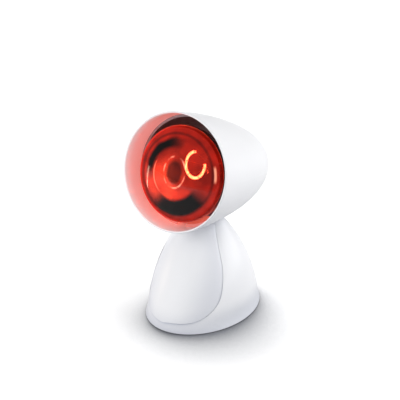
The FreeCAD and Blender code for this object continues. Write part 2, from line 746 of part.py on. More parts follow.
for i in range(vent_count):
    slot = block((vent_inner_radius, strap_back, -vent_width / 2), (vent_outer_radius, FAR, vent_width / 2))
    for end in (vent_inner_radius, vent_outer_radius):
        slot = slot.fuse(cylinder(vent_width / 2, V(end, strap_back, 0), V(end, FAR, 0)))
    slot.rotate(V(0, 0, 0), Y_AXIS, ALL_ROUND * (i + 0.5) / vent_count)
    shade = shade.cut(slot)
save("shade", place_head(shade))

shield_steps = 5
shield_back = shield_front + shield_length
shield_inset = shade_wall + shield_gap
stations = [shield_front + (shield_back - shield_front) * i / shield_steps for i in range(shield_steps + 1)]
outer_line = [(shade_radius(s, shield_inset), s) for s in stations]
inner_line = [(r - shield_wall, s) for r, s in outer_line]
shield = turned([curve(outer_line), line(outer_line[-1], inner_line[-1]), curve(inner_line),
                 line(inner_line[0], outer_line[0])])
flange_outer = shade_radius(shield_front, shade_wall) - small_gap
shield_flange = ring(flange_outer, outer_line[0][0] - shield_wall, V(0, shield_front, 0),
                     V(0, shield_front + shield_wall, 0))
shield = shield.fuse(shield_flange)
shield = shield.cut(block((shield_seam_x - shield_seam / 2, shield_front - past, -rim_radius),
                          (shield_seam_x + shield_seam / 2, shield_back + past, 0.0)))
save("heat_shield", place_head(shield))

# ------------------------------------------------ head: arm with its knuckle and detent quadrant
knuckle_z = -axis_above_pivot
knuckle_left = V(-arm_width / 2, pivot_station, knuckle_z)
knuckle_right = V(arm_width / 2, pivot_station, knuckle_z)
arm = cylinder(knuckle_radius, knuckle_left, knuckle_right)
arm = arm.fuse(block((-arm_width / 2, pivot_station - arm_length / 2, knuckle_z),
                     (arm_width / 2, pivot_station + arm_length / 2, arm_seat)))
arm = arm.fuse(block((-arm_flange_x, pivot_station - arm_flange_s, arm_seat),
                     (arm_flange_x, pivot_station + arm_flange_s, arm_seat + arm_flange_thickness)))
first_notch = rest_tilt - tilt_down
last_notch = rest_tilt + tilt_up
quadrant_start = V(-quadrant_width / 2, pivot_station, knuckle_z)
quadrant_angle = last_notch - first_notch + 2 * quadrant_margin
quadrant = Part.makeCylinder(quadrant_radius, quadrant_width, quadrant_start, X_AXIS, quadrant_angle)
quadrant.rotate(V(0, pivot_station, knuckle_z), X_AXIS, first_notch - quadrant_margin + quadrant_zero)
arm = arm.fuse(quadrant)
notch_count = int(round((last_notch - first_notch) / detent_step)) + 1
for i in range(notch_count):
    angle = math.radians(first_notch + i * detent_step)
    away = quadrant_radius + notch_radius - notch_depth
    middle = V(0, pivot_station + away * math.sin(angle), knuckle_z - away * math.cos(angle))
    arm = arm.cut(cylinder(notch_radius, middle.sub(V(FAR, 0, 0)), middle.add(V(FAR, 0, 0))))
arm = arm.cut(cylinder(pin_radius + pin_running_gap, knuckle_left.sub(X_AXIS), knuckle_right.add(X_AXIS)))
channel_low = pivot_station - channel_offset - channel_width / 2
arm = arm.cut(block((-channel_reach, channel_low, -FAR), (channel_reach, channel_low + channel_width, FAR)))
for x, s in arm_screws_at:
    arm = arm.cut(cylinder(screw_radius + small_gap, V(x, s, -FAR), V(x, s, FAR)))
save("tilt_arm", place_head(arm))
arm_screw_length = arm_flange_thickness + arm_screw_bite - short_spare
arm_screws = [place_head(screw(V(x, s, arm_seat + arm_flange_thickness), DOWN, arm_screw_length))
              for x, s in arm_screws_at]
save("arm_screws", Part.Compound(arm_screws))

# ------------------------------------------------ head: lampholder
BACK = V(0, 1, 0)
FRONT = V(0, -1, 0)
socket_radius = cap_radius + socket_gap
bore_radius = socket_radius + socket_shell_wall + small_gap
collar_end = holder_mouth + holder_collar
holder_waist = holder_radius - holder_step
holder = stepped([(bore_radius, holder_mouth), (holder_radius, holder_mouth), (holder_radius, collar_end),
                  (holder_waist, collar_end + holder_step), (holder_waist, holder_back),
                  (0.0, holder_back), (0.0, holder_floor), (bore_radius, holder_floor)])
for x in (-holder_screw_x, holder_screw_x):
    holder = holder.cut(cylinder(screw_radius, V(x, holder_back - holder_screw_bite, 0), V(x, FAR, 0)))
for side in (-1, 1):
    low_x, high_x = sorted((side * pocket_near, side * pocket_far))
    pocket_low = (low_x, holder_floor + pocket_wall, -holder_radius - past)
    holder = holder.cut(block(pocket_low, (high_x, FAR, -pocket_top)))


def place_bulb(shape):
    """Lowers a shape from the shade's axis to the bulb's and carries it to the hinge."""
    moved = shape.copy()
    moved.translate(V(0, 0, -bulb_drop))
    return place_head(moved)


save("lampholder_body", place_bulb(holder))
shell = ring(socket_radius + socket_shell_wall, socket_radius, V(0, holder_mouth + socket_shell_start, 0),
             V(0, holder_mouth + socket_shell_start + socket_shell_length, 0))
save("lampholder_shell", place_bulb(shell))
contact_top = bulb_apex + bulb_length + contact_gap
contact_rim = contact_radius + contact_foot
sheet_front = holder_floor - contact_sheet
contact = stepped([(0.0, contact_top), (contact_radius / 2, contact_top), (contact_radius, sheet_front),
                   (contact_rim, sheet_front), (contact_rim, holder_floor), (0.0, holder_floor)])
save("lampholder_contact", place_bulb(contact))
terminals = []
for side in (-1, 1):
    low_x, high_x = sorted((side * (pocket_near + terminal_tab_gap), side * (pocket_far - terminal_tab_gap)))
    brass = block((low_x, holder_floor + terminal_tab_wall, -pocket_top - terminal_tab_drop),
                  (high_x, holder_back, -pocket_top))
    middle_x = (low_x + high_x) / 2
    brass = brass.cut(cylinder(lead_radius, V(middle_x, lead_station, -FAR),
                               V(middle_x, lead_station, -pocket_top - terminal_tab_roof)))
    terminals.append(place_bulb(brass))
save("lampholder_terminals", Part.Compound(terminals))

strap = block((-strap_reach, holder_back, -strap_boss_radius), (strap_reach, strap_back, strap_boss_radius))
for x, radius in ((-strap_reach, strap_boss_radius), (strap_reach, strap_boss_radius), (0.0, strap_disc)):
    strap = strap.fuse(cylinder(radius, V(x, holder_back, 0), V(x, strap_back, 0)))
for x in (-strap_reach, strap_reach, -holder_screw_x, holder_screw_x):
    strap = strap.cut(cylinder(screw_radius + small_gap, V(x, 0, 0), V(x, FAR, 0)))
save("lampholder_strap", place_bulb(strap))
strap_screw_length = strap_thickness + strap_screw_bite - short_spare
strap_screws = [place_bulb(screw(V(x, holder_back, 0), BACK, strap_screw_length))
                for x in (-strap_reach, strap_reach)]
save("strap_screws", Part.Compound(strap_screws))
holder_screw_length = strap_thickness + holder_screw_bite - short_spare
holder_screws = [place_bulb(screw(V(x, strap_back, 0), FRONT, holder_screw_length))
                 for x in (-holder_screw_x, holder_screw_x)]
save("holder_screws", Part.Compound(holder_screws))

head_leads = []
terminal_x = (pocket_near + pocket_far) / 2
channel_s = pivot_station - channel_offset
for side in (-1, 1):
    points = [V(side * channel_lead_x, channel_s, knuckle_z - lead_start_drop),
              V(side * channel_lead_x, channel_s, arm_seat + arm_flange_thickness + lead_clear_rise),
              V(side * terminal_x, channel_s + lead_slope, lead_run_z),
              V(side * terminal_x, lead_station, lead_run_z),
              V(side * terminal_x, lead_station, -bulb_drop - pocket_top - lead_end_drop)]
    head_leads.append(place_head(lead(points, lead_head_bend)))
save("head_leads", Part.Compound(head_leads))

# ------------------------------------------------ bulb


def place_glass(shape):
    """Carries a bulb shape, drawn with the front of its glass at station 0, into the shade."""
    moved = shape.copy()
    moved.translate(V(0, bulb_apex, 0))
    return place_bulb(moved)


def front_profile(inset):
    """Outline of the domed front glass, from its apex to its widest circle."""
    ring_radius = bulb_radius - bulb_shoulder
    dome_radius = ring_radius ** 2 + bulb_widest ** 2 - bulb_shoulder ** 2
    dome_radius = dome_radius / (2 * (bulb_widest - bulb_shoulder))
    dome_middle = V(0, dome_radius, 0)
    shoulder_middle = V(ring_radius, bulb_widest, 0)
    towards = shoulder_middle.sub(dome_middle).normalize()
    meet = dome_middle.add(V(towards).multiply(dome_radius - inset))
    apex = V(0, inset, 0)
    half = math.atan2(towards.x, -towards.y) / 2
    on_dome = dome_middle.add(V(math.sin(half), -math.cos(half), 0).multiply(dome_radius - inset))
    bisector = V(towards).add(V(1, 0, 0)).normalize()
    on_shoulder = shoulder_middle.add(bisector.multiply(bulb_shoulder - inset))
    widest = V(bulb_radius - inset, bulb_widest, 0)
    edges = [Part.Arc(apex, on_dome, meet).toShape(), Part.Arc(meet, on_shoulder, widest).toShape()]
    return edges, apex, widest


outer_edges, outer_apex, outer_widest = front_profile(0.0)
inner_edges, inner_apex, inner_widest = front_profile(bulb_wall)
front_glass = turned(outer_edges + [Part.makeLine(outer_widest, inner_widest)] + inner_edges[::-1]
                     + [Part.makeLine(inner_apex, outer_apex)])
save("bulb_front_glass", place_glass(front_glass))

neck = bulb_neck_radius
# the bowl's outline: shares of the way from neck to widest circle, and of the bowl's depth
bowl_shares = [(1.0, 0.0), (0.975, 0.082), (0.878, 0.195), (0.71, 0.321), (0.48, 0.447), (0.245, 0.56),
               (0.075, 0.673), (0.01, 0.786), (0.0, 0.887)]
bowl_depth = bulb_neck_end - bulb_widest
reflector_line = [(neck + r * (bulb_radius - neck), bulb_widest + s * bowl_depth) for r, s in bowl_shares]
reflector_line.append((cap_radius - cap_wall - small_gap, bulb_neck_end))
inside_line = [(r - bulb_wall, s) for r, s in reflector_line]
reflector = turned([curve(reflector_line), line(reflector_line[-1], inside_line[-1]), curve(inside_line),
                    line(inside_line[0], reflector_line[0])])
glass_end = reflector_line[-1][0]
sleeve = ring(glass_end, glass_end - bulb_wall, V(0, bulb_neck_end, 0), V(0, bulb_neck_end + glass_sleeve, 0))
save("bulb_reflector", place_glass(reflector.fuse(sleeve)))

cap_start = bulb_neck_end - cap_overlap
cap_waist = bulb_neck_end + cap_skirt
cap_end = cap_start + cap_length - cap_tip
cap_hole = cap_radius - cap_lip
cap_inside = cap_radius - cap_wall
cap = stepped([(cap_radius + cap_flare, cap_start), (cap_radius, cap_waist), (cap_radius, cap_end),
               (cap_hole, cap_end), (cap_hole, cap_end - cap_wall), (cap_inside, cap_end - cap_wall),
               (cap_inside, cap_waist), (cap_inside + cap_flare, cap_start)])
save("bulb_cap", place_glass(cap))
tip_start = bulb_length - insulator_drop
insulator = stepped([(0.0, cap_end), (cap_radius - insulator_step, cap_end),
                     (contact_radius + insulator_step, tip_start), (0.0, tip_start)])
save("cap_insulator", place_glass(insulator))
tip_contact = stepped([(0.0, tip_start), (contact_radius, tip_start),
                       (contact_radius - contact_taper, bulb_length), (0.0, bulb_length)])
save("cap_contact", place_glass(tip_contact))

stem_foot = glass_end - bulb_wall - small_gap
stem_seal = bulb_neck_end + glass_sleeve / 2
stem = stepped([(0.0, stem_front), (stem_radius, stem_front), (stem_radius, stem_back),
                (stem_foot, stem_seal), (stem_foot, bulb_neck_end + glass_sleeve),
                (stem_radius, stem_back + stem_flare), (0.0, stem_back + stem_flare)])
save("bulb_stem", place_glass(stem))

filament_middle = V(0, filament_depth, filament_rise)


def on_filament(angle):
    """A point on the filament's arc, counted from the right-hand side upwards."""
    turn = math.radians(angle)
    return filament_middle.add(V(math.cos(turn), 0, math.sin(turn)).multiply(filament_radius))


filament_half = (filament_from + filament_to) / 2
arc = Part.Arc(on_filament(filament_from), on_filament(filament_half), on_filament(filament_to))
arc_wire = Part.Wire([arc.toShape()])
tangent = on_filament(filament_from).sub(filament_middle).cross(Y_AXIS)
wire_section = Part.Wire([Part.makeCircle(filament_wire, on_filament(filament_from), tangent)])
save("filament", place_glass(arc_wire.makePipeShell([wire_section], True, False)))

supports = []
for i in range(support_count):
    angle = filament_from + (filament_to - filament_from) * i / (support_count - 1)
    turn = math.radians(angle)
    foot = V(math.cos(turn), 0, math.sin(turn)).multiply(stem_radius - support_wire)
    foot = foot.add(V(0, stem_front - support_wire - small_gap, 0))
    end = on_filament(angle)
    reach = end.sub(foot).normalize()
    end = end.sub(V(reach).multiply(filament_wire + small_gap))
    supports.append(place_glass(cylinder(support_wire, foot, end)))
save("filament_supports", Part.Compound(supports))
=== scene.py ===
# %% [markdown]
# # An infrared heat therapy lamp
#
# A white moulded lamp for the table: a bullet-shaped shade with a ruby reflector bulb leans over a
# domed base. Its measured pieces come in ready-made, as a frame that stays as it is. This lesson
# gives each of them a finish. It models four small things anew, which are finer than the measured
# solids: the coiled filament, its support wires, the threaded cap and a spring.
# Then it adds a floor, light and a camera.

# %% Start with the frame
import math
import bpy
from mathutils import Matrix, Vector
from types import SimpleNamespace


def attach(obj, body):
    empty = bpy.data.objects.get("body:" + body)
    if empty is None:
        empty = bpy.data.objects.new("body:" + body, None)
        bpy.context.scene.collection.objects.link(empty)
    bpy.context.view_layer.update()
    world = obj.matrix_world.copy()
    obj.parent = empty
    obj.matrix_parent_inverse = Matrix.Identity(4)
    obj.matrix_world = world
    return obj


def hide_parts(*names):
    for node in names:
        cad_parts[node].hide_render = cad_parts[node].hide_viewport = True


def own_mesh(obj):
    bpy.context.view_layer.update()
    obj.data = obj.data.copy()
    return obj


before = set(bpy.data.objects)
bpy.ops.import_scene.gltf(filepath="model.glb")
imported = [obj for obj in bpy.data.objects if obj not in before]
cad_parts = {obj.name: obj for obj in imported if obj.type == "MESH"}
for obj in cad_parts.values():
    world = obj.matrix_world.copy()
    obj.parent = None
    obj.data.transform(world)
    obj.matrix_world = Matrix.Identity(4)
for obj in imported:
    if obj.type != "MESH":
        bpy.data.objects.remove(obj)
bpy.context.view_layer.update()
MM = 0.001
print("nodes in the frame:", len(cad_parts))


# %% [markdown]
# Colours are easiest to judge as the hex values of a colour picker. The shader wants them linear,
# so one function turns them.

# %% Colours
def linear(hex_colour):
    """An sRGB hex colour as the linear values that a shader wants."""
    parts = [int(hex_colour[i:i + 2], 16) / 255 for i in (0, 2, 4)]
    return [p / 12.92 if p <= 0.04045 else ((p + 0.055) / 1.055) ** 2.4 for p in parts] + [1.0]


print("a middle grey, made linear:", round(linear("808080")[0], 3))

# %% [markdown]
# A finish is a small net of shader nodes. One function adds a node with its settings and its links,
# which keeps each finish as short as a recipe. An input can be a number, a colour, the output of a
# node, or a node, which then stands for the first output that it uses. Settings that come back in
# several finishes get a short name first.

# %% Nodes and their links
TIMES = {"operation": "MULTIPLY"}
PLUS = {"operation": "ADD"}
MINUS = {"operation": "SUBTRACT"}
LARGER = {"operation": "MAXIMUM"}
DOT = {"operation": "DOT_PRODUCT"}
LENGTH = {"operation": "LENGTH"}
SOFT = {"interpolation_type": "SMOOTHSTEP"}
COLOUR = {"data_type": "RGBA"}
ABOUT_X = {"rotation_type": "X_AXIS"}


def feed(tree, node, *in_order, **by_name):
    """Sets or links the inputs of a node."""
    for key, value in [*enumerate(in_order), *by_name.items()]:
        socket = node.inputs[key if isinstance(key, int) else key.replace("_", " ")]
        if isinstance(value, bpy.types.Node):
            value = next(output for output in value.outputs if output.enabled)
        if isinstance(value, bpy.types.NodeSocket):
            tree.links.new(value, socket)
        else:
            socket.default_value = value


def add(tree, kind, settings=None, *in_order, **by_name):
    """Adds a shader node with its settings and its inputs."""
    node = tree.nodes.new("ShaderNode" + kind)
    for name, value in (settings or {}).items():
        setattr(node, name, value)
    feed(tree, node, *in_order, **by_name)
    return node


def start(name):
    """A new material, its node tree and its shader."""
    material = bpy.data.materials.new(name)
    material.use_nodes = True
    return material, material.node_tree, material.node_tree.nodes["Principled BSDF"]


print("materials before the first finish:", len(bpy.data.materials))

# %% [markdown]
# Shade falls where little light gets in: along a seam, under the shade, low on the base. Here that
# shade is painted into the colour. It could be painted by hand on an image. The Ambient Occlusion node
# finds such places by itself, and a limit on the height keeps the painted shade low down.
#
# A panel that is moulded by itself also looks a little greyer where it turns in to the parting line,
# and that shade is painted as well. The normal tells that turn, because it points sideways there.

# %% Painted shade in the hollows, and at the turn to a parting line
OPEN_WHERE_FULL = 0.35
TURN_FROM, TURN_FULL = 0.3, 0.85


def paint_shade_in_hollows(tree, paint, painted_shade, low, high, left_over, reach):
    """Painted shade where something is nearer than reach, all of it below low and little above high, in
    mm.
    """
    # Painted shade: the colour turns greyer where Ambient Occlusion finds something near.
    closeness = add(tree, "AmbientOcclusion", {"samples": 12}, Distance=reach * MM).outputs["AO"]
    closed = add(tree, "MapRange", Value=closeness, From_Min=OPEN_WHERE_FULL, To_Min=1.0, To_Max=0.0)
    height = add(tree, "SeparateXYZ", Vector=add(tree, "TexCoord").outputs["Object"]).outputs["Z"]
    low_down = add(tree, "MapRange", SOFT, Value=height, From_Min=low * MM, From_Max=high * MM,
                   To_Min=1.0, To_Max=left_over)
    amount = add(tree, "Math", TIMES, closed, low_down)
    return add(tree, "Mix", COLOUR, Factor=amount, A=paint, B=linear(painted_shade))


def painted_edge_shade(tree, paint, edge_shade, most):
    """A painted shade where a panel turns to its two sides, towards the parting line."""
    # Painted shade: greyer where the normal points sideways.
    normal = add(tree, "SeparateXYZ", Vector=add(tree, "TexCoord").outputs["Normal"])
    sideways = add(tree, "Math", {"operation": "ABSOLUTE"}, normal.outputs["X"])
    turned = add(tree, "MapRange", SOFT, Value=sideways, From_Min=TURN_FROM, From_Max=TURN_FULL,
                 To_Max=most)
    return add(tree, "Mix", COLOUR, Factor=turned, A=paint, B=linear(edge_shade))


print("dust is full where", round(100 * (1 - OPEN_WHERE_FULL)), "percent of the view is blocked")

# %% [markdown]
# The shells are injection-moulded ABS with a high gloss. Close up such a moulding isn't quite flat:
# the polish of the tool leaves a soft waviness, a few millimetres across, that only the highlights
# show. An image could give it, but noise on Object coordinates needs no unwrapping and has its real
# size on every piece. The plate, the arm, the small mouldings and the leads use the same recipe with
# a finer and deeper grain. Sizes of a pattern are given in mm.

# %% Moulded plastics
DRIFT_ACROSS = 40.0
BASE_SHADE = {"low": 22.0, "high": 45.0, "left_over": 0.12, "reach": 30.0}
EDGE_SHADE_MOST = 0.27


def moulded(name, colour, drift_to, wave, depth, roughness, painted_shade=None, edge_shade=None):
    """A moulded plastic: its colour drifts a little, and waves so many mm wide show in highlights."""
    material, tree, shader = start(name)
    place = add(tree, "TexCoord").outputs["Object"]
    drift = add(tree, "TexNoise", Vector=place, Scale=1 / (DRIFT_ACROSS * MM), Detail=2.0)
    paint = add(tree, "Mix", COLOUR, Factor=drift, A=linear(colour), B=linear(drift_to))
    # Painted shade, where asked for: in the hollows, and at the turn to a parting line.
    if painted_shade:
        paint = paint_shade_in_hollows(tree, paint, painted_shade, **BASE_SHADE)
    if edge_shade:
        paint = painted_edge_shade(tree, paint, edge_shade, EDGE_SHADE_MOST)
    ripple = add(tree, "TexNoise", Vector=place, Scale=1 / (wave * MM), Detail=3.0)
    bump = add(tree, "Bump", Height=ripple, Distance=depth * MM, Strength=1.0)
    feed(tree, shader, Base_Color=paint, Normal=bump, Roughness=roughness)
    return material


# Polished tools: clear highlights that bend a little; painted grey shade by the seams and low down.
SHELL = {"colour": "F6F6F8", "drift_to": "F2F3F5", "wave": 6.0, "depth": 0.006, "roughness": 0.3}
white_abs = moulded("white_gloss_abs", **SHELL, painted_shade="B4B9C8")
# The cover also gets a painted shade where it turns in to the parting line.
cover_abs = moulded("cover_gloss_abs", **SHELL, painted_shade="B4B9C8", edge_shade="A8AEC2")
shade_pbt = moulded("white_gloss_pbt", "F8F8F9", "F4F4F6", wave=6.0, depth=0.006, roughness=0.28)
# Textured tools: a fine matt grain. The glass in the arm's nylon makes its grain coarser.
plate_abs = moulded("grey_textured_abs", "C9CBD0", "C2C4CA", wave=0.9, depth=0.05, roughness=0.6)
arm_nylon = moulded("glass_filled_nylon", "D4D6DB", "CCCED4", wave=1.2, depth=0.04, roughness=0.55)
# Nylon from a plain tool: a satin that spreads the highlights.
gland_nylon = moulded("satin_nylon", "DADCE1", "D3D5DB", wave=1.0, depth=0.02, roughness=0.42)
off_white_nylon = moulded("natural_nylon", "E4E0D2", "DCD8C9", wave=1.0, depth=0.02, roughness=0.5)
# Soft rubbers: nearly no highlight on the moulded foot, a dull one on the extruded leads.
foot_tpe = moulded("grey_soft_tpe", "8E9096", "86888E", wave=0.7, depth=0.05, roughness=0.8)
lead_silicone = moulded("silicone_lead", "E9E7E1", "E2DFD8", wave=0.8, depth=0.02, roughness=0.6)
print("moulded finishes:", len(bpy.data.materials))

# %% [markdown]
# The lampholder's body is glazed porcelain, and black glass closes the end of the lamp's cap. Both
# come out of a mould too, so the same recipe fits. Their surface set from a melt, so it is smooth and
# the highlights are small and sharp.

# %% Porcelain and black glass
porcelain = moulded("glazed_porcelain", "EFEAE0", "E8E2D6", wave=3.0, depth=0.01, roughness=0.12)
black_glass = moulded("black_cap_glass", "141416", "1C1C1F", wave=1.5, depth=0.02, roughness=0.15)
print("fired finishes:", porcelain.name, black_glass.name)

# %% [markdown]
# Metals in a lamp are plain stock: rolled aluminium, zinc-plated steel, brass. Rolling and drawing
# leave fine lines in one direction, which blur a highlight more in one place than in another. The
# real lines are far finer than a pixel, so they are drawn about half a millimetre apart, as a noise in
# the roughness that is stretched along them.

# %% Metals
DRAWN_UP = (1, 1, 0.1)
DRAWN_BACK = (1, 0.2, 1)
ROLLED = (1, 0.05, 1)
EVEN = (1, 1, 1)
GLOSSIEST, DULLEST = 0.75, 1.3


def metal(name, colour, stretch, line, roughness):
    """A metal with fine lines from rolling or drawing, so many mm apart."""
    material, tree, shader = start(name)
    stretched = add(tree, "Mapping", Vector=add(tree, "TexCoord").outputs["Object"], Scale=stretch)
    grain = add(tree, "TexNoise", Vector=stretched, Scale=1 / (line * MM), Detail=2.0)
    spread = add(tree, "MapRange", Value=grain, To_Min=roughness * GLOSSIEST, To_Max=roughness * DULLEST)
    feed(tree, shader, Base_Color=linear(colour), Metallic=1.0, Roughness=spread)
    return material


zinc_steel = metal("zinc_plated_steel", "BFC3C8", DRAWN_UP, line=0.5, roughness=0.32)
spring_steel = metal("bright_spring_steel", "C8C8CA", DRAWN_BACK, line=0.4, roughness=0.25)
cap_aluminium = metal("lamp_cap_aluminium", "CFCFD2", DRAWN_BACK, line=0.5, roughness=0.3)
brass = metal("terminal_brass", "D8B765", DRAWN_BACK, line=0.5, roughness=0.28)
solder = metal("dull_solder", "A9ABAF", EVEN, line=0.8, roughness=0.5)
support_steel = metal("nickel_support_wire", "A5A3A0", DRAWN_BACK, line=0.4, roughness=0.35)
print("finishes with the metals:", len(bpy.data.materials))

# %% [markdown]
# The bulb and what it lights are round, so their finishes are drawn in the bulb's own coordinates:
# across, up, and along the axis from the front of the glass. One matrix carries a point from there to
# its place in the tilted head, and a rotation node goes the other way. A pattern then follows the
# piece when the head tilts, and nothing has to be unwrapped.

# %% The bulb's own coordinates
PIVOT = Vector((0.0, 2.0, 83.0)) * MM
FRONT_FROM_PIVOT = Vector((0.0, -73.5, 63.9)) * MM
REST_TILT = math.radians(15)
BULB = (Matrix.Translation(PIVOT) @ Matrix.Rotation(-REST_TILT, 4, "X")
        @ Matrix.Translation(FRONT_FROM_PIVOT))


def round_the_axis(tree):
    """Where a point lies round the bulb's axis: radius, direction, depth, and place across and up."""
    place = add(tree, "TexCoord").outputs["Object"]
    off = add(tree, "VectorMath", MINUS, place, BULB.translation)
    level = add(tree, "VectorRotate", ABOUT_X, Vector=off, Angle=REST_TILT)
    part = add(tree, "SeparateXYZ", Vector=level)
    flat = add(tree, "CombineXYZ", X=part.outputs["X"], Y=part.outputs["Z"])
    radius = add(tree, "VectorMath", LENGTH, flat)
    towards = add(tree, "VectorMath", {"operation": "NORMALIZE"}, flat)
    return SimpleNamespace(radius=radius, towards=towards, depth=part.outputs["Y"], flat=flat)


print("front of the glass:", [round(c / MM, 1) for c in BULB.translation])

# %% [markdown]
# Three patterns do most of the drawing on round things: a band between two circles, a lobe that is
# strongest on one side, and a test for which face of a wall is seen. Each runs from 0 to 1 with soft
# ends, so they can be multiplied. Four radii give a band, where it begins, is full, fades and is gone.
# Three angles give a lobe: its middle, counted from the right upwards, how far it reaches either side,
# and how far it is full.

# %% Bands, lobes and the two faces of a wall
FACES_IN, FACES_OUT = -0.5, -0.2


def band(tree, radius, begins, full, fades, gone):
    """1 between two circles, with soft edges. The four radii are in mm."""
    rise = add(tree, "MapRange", SOFT, Value=radius, From_Min=begins * MM, From_Max=full * MM)
    fall = add(tree, "MapRange", SOFT, Value=radius, From_Min=fades * MM, From_Max=gone * MM,
               To_Min=1.0, To_Max=0.0)
    return add(tree, "Math", TIMES, rise, fall)


def lobe(tree, towards, middle, reach, full):
    """1 in one direction round the axis, fading to 0 at an angle either side of it, in degrees."""
    turn = math.radians(middle)
    aim = add(tree, "VectorMath", DOT, towards, (math.cos(turn), math.sin(turn), 0.0))
    return add(tree, "MapRange", SOFT, Value=aim, From_Min=math.cos(math.radians(reach)),
               From_Max=math.cos(math.radians(full)))


def outside_of(tree):
    """1 where a wall faces away from the bulb's axis, 0 where it faces it."""
    normal = add(tree, "TexCoord").outputs["Normal"]
    level = add(tree, "VectorRotate", ABOUT_X, Vector=normal, Angle=REST_TILT)
    part = add(tree, "SeparateXYZ", Vector=level)
    facing = add(tree, "CombineXYZ", X=part.outputs["X"], Y=part.outputs["Z"])
    outward = add(tree, "VectorMath", DOT, facing, round_the_axis(tree).towards)
    return add(tree, "MapRange", SOFT, Value=outward, From_Min=FACES_IN, From_Max=FACES_OUT)


for face, limit in (("inside", FACES_IN), ("outside", FACES_OUT)):
    print("a wall is all", face, "at", round(math.degrees(math.acos(limit))), "degrees off outwards")

# %% [markdown]
# The front of the bulb is ruby glass, fused to a bowl that is silvered inside. In the bend of the
# glass two nearly black arcs are painted dark reflections, and an oval mark sits in the middle. An image
# wrapped on the glass could show that. Bands round the axis, each kept to one side by a lobe, stay
# sharp at any distance, and a little noise in the radius makes them as uneven as real glass.

# %% Ruby glass: the painted dark reflections and the mark
UNEVEN_ACROSS = 22.0
WANDER = 2.5
UPPER_ARC, UPPER_SIDE = (23.0, 29.0, 33.0, 37.5), (142, 70, 26)
LOWER_ARC, LOWER_SIDE = (22.0, 27.0, 38.5, 41.0), (-75, 60, 34)
MARK_LIFT = 2.6
MARK_NARROWER, MARK_TALLER = 1.2, 0.94
MARK_FULL, MARK_GONE = 8.0, 13.5
MARK_DARK = 0.9

ruby, tree, shader = start("ruby_glass")
at = round_the_axis(tree)
place = add(tree, "TexCoord").outputs["Object"]
uneven = add(tree, "TexNoise", Vector=place, Scale=1 / (UNEVEN_ACROSS * MM), Detail=2.0)
wander = add(tree, "MapRange", Value=uneven, To_Min=-WANDER * MM, To_Max=WANDER * MM)
loose = add(tree, "Math", PLUS, at.radius, wander)
# Painted dark reflections: two nearly black arcs in the bend of the glass.
upper_arc = add(tree, "Math", TIMES, band(tree, loose, *UPPER_ARC), lobe(tree, at.towards, *UPPER_SIDE))
lower_arc = add(tree, "Math", TIMES, band(tree, loose, *LOWER_ARC), lobe(tree, at.towards, *LOWER_SIDE))
dark_reflection = add(tree, "Math", LARGER, upper_arc, lower_arc)
oval = add(tree, "VectorMath", MINUS, at.flat, (0.0, MARK_LIFT * MM, 0.0))
oval = add(tree, "VectorMath", TIMES, oval, (MARK_NARROWER, MARK_TALLER, 0.0))
oval = add(tree, "VectorMath", LENGTH, oval)
mark = add(tree, "MapRange", SOFT, Value=oval, From_Min=MARK_FULL * MM, From_Max=MARK_GONE * MM,
           To_Min=MARK_DARK, To_Max=0.0)
print("nodes for the dark bends and the mark:", len(tree.nodes))

# %% [markdown]
# Curved glass catches light in thin lines, and here they are painted highlights and a painted
# reflection: a broken one round the mark, a faint one further out on the left, and a short bright one at
# the right edge. They come from bends in the glass that are too small to model. They are drawn as narrow
# glowing bands, at most about a millimetre wide where they are full.

# %% Ruby glass: the painted highlights
RING_REFLECTION = (13.2, 14.1, 14.7, 15.8)
BREAK_ACROSS = 7.0
BREAK_GONE, BREAK_FULL = 0.3, 0.65
OUTER_LINE, OUTER_SIDE = (23.4, 24.4, 24.8, 25.8), (195, 45, 15)
OUTER_FAINT = 0.6
EDGE_LINE, EDGE_SIDE = (40.5, 41.5, 42.6, 44.0), (11, 13, 5)

# Painted highlights and a painted reflection, drawn as thin glowing bands.
broken = add(tree, "TexNoise", Vector=place, Scale=1 / (BREAK_ACROSS * MM), Detail=2.0)
broken = add(tree, "MapRange", SOFT, Value=broken, From_Min=BREAK_GONE, From_Max=BREAK_FULL)
ring_reflection = add(tree, "Math", TIMES, band(tree, oval, *RING_REFLECTION), broken)
outer_line = add(tree, "Math", TIMES, band(tree, at.radius, *OUTER_LINE),
                 lobe(tree, at.towards, *OUTER_SIDE))
outer_line = add(tree, "Math", TIMES, outer_line, OUTER_FAINT)
edge_line = add(tree, "Math", TIMES, band(tree, at.radius, *EDGE_LINE),
                lobe(tree, at.towards, *EDGE_SIDE))
lines = add(tree, "Math", LARGER, ring_reflection, outer_line)
lines = add(tree, "Math", LARGER, lines, edge_line)
print("nodes with the bright lines:", len(tree.nodes))

# %% [markdown]
# The glass is lit from behind, and each dark part takes some of that light away: the mark, the painted
# dark reflections, a groove near the edge and the rim. A lamp inside the bulb would need many samples to
# come through smoothly, so the glass gets a painted glow of its own. It starts as a soft noise and is
# multiplied by what each dark part lets through.

# %% Ruby glass: its colour and its glow
GROOVE = (37.5, 39.5, 40.0, 42.0)
RIM_FROM, RIM_TO = 45.0, 46.5
NOISE_LOW, NOISE_HIGH = 0.3, 0.7
GLOW_WEAK, GLOW_STRONG = 0.17, 0.38
LINE_GLOW = 0.45
MARK_HOLDS, BENDS_HOLD, GROOVE_HOLDS, RIM_HOLDS = 0.9, 1.0, 0.55, 0.6

